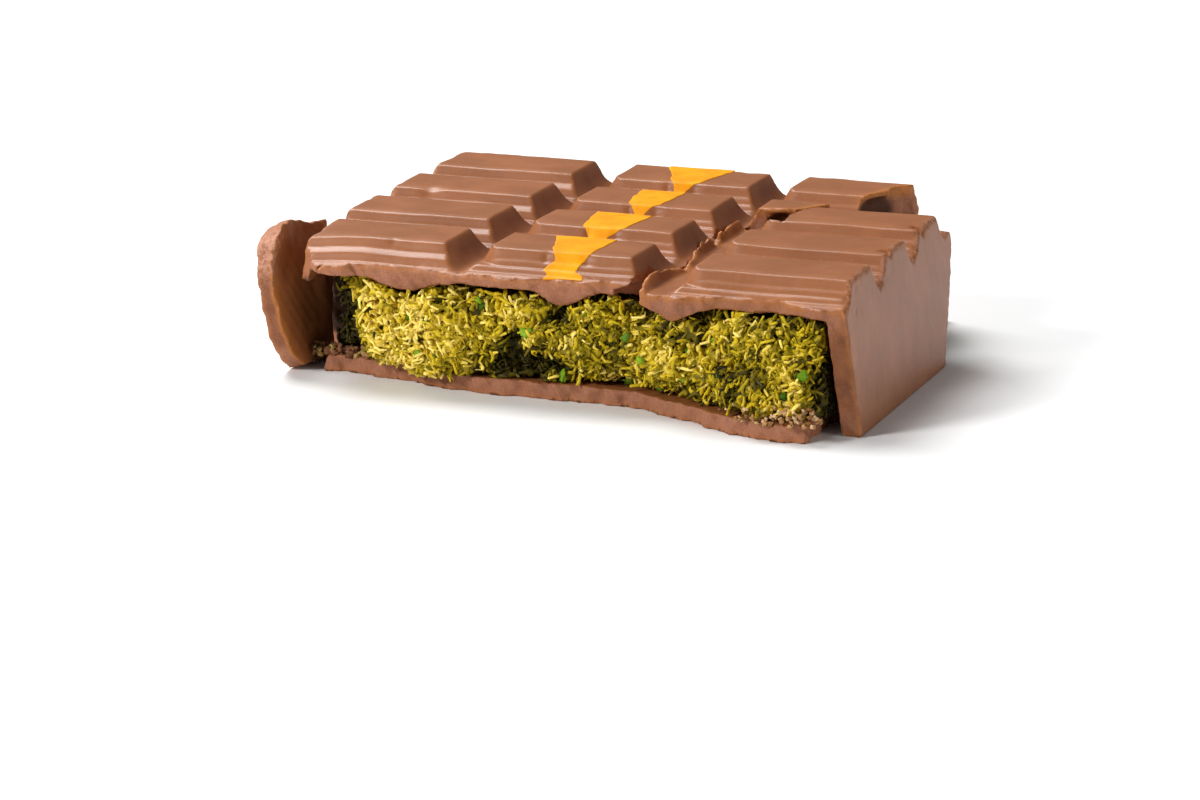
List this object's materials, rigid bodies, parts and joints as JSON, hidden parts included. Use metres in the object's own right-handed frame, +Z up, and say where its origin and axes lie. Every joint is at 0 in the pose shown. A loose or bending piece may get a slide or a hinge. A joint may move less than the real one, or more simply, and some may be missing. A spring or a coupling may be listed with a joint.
{
  "type": "kunafa chocolate bar",
  "caption": "Broken half of a moulded milk chocolate bar with bevelled blocks, an orange stripe and a filling of shredded kadaif pastry in pistachio cream.",
  "frame": {"origin": "on the flat base, under the middle of the half bar", "axes": "+X across the three columns of blocks, +Y from the broken end towards the whole end, +Z up"},
  "size_m": [0.0876, 0.0737, 0.0203],
  "materials": {
    "milk_chocolate": "satin milk chocolate",
    "kunafa": "shredded pastry in pistachio cream, moist and rough",
    "orange_stripe": "coloured cocoa butter, satin"
  },
  "bodies": {
    "root": {"chocolate_shell": "milk_chocolate", "broken_corner": "milk_chocolate", "wall_flake": "milk_chocolate", "kunafa_filling": "kunafa"}
  },
  "joints": []
}
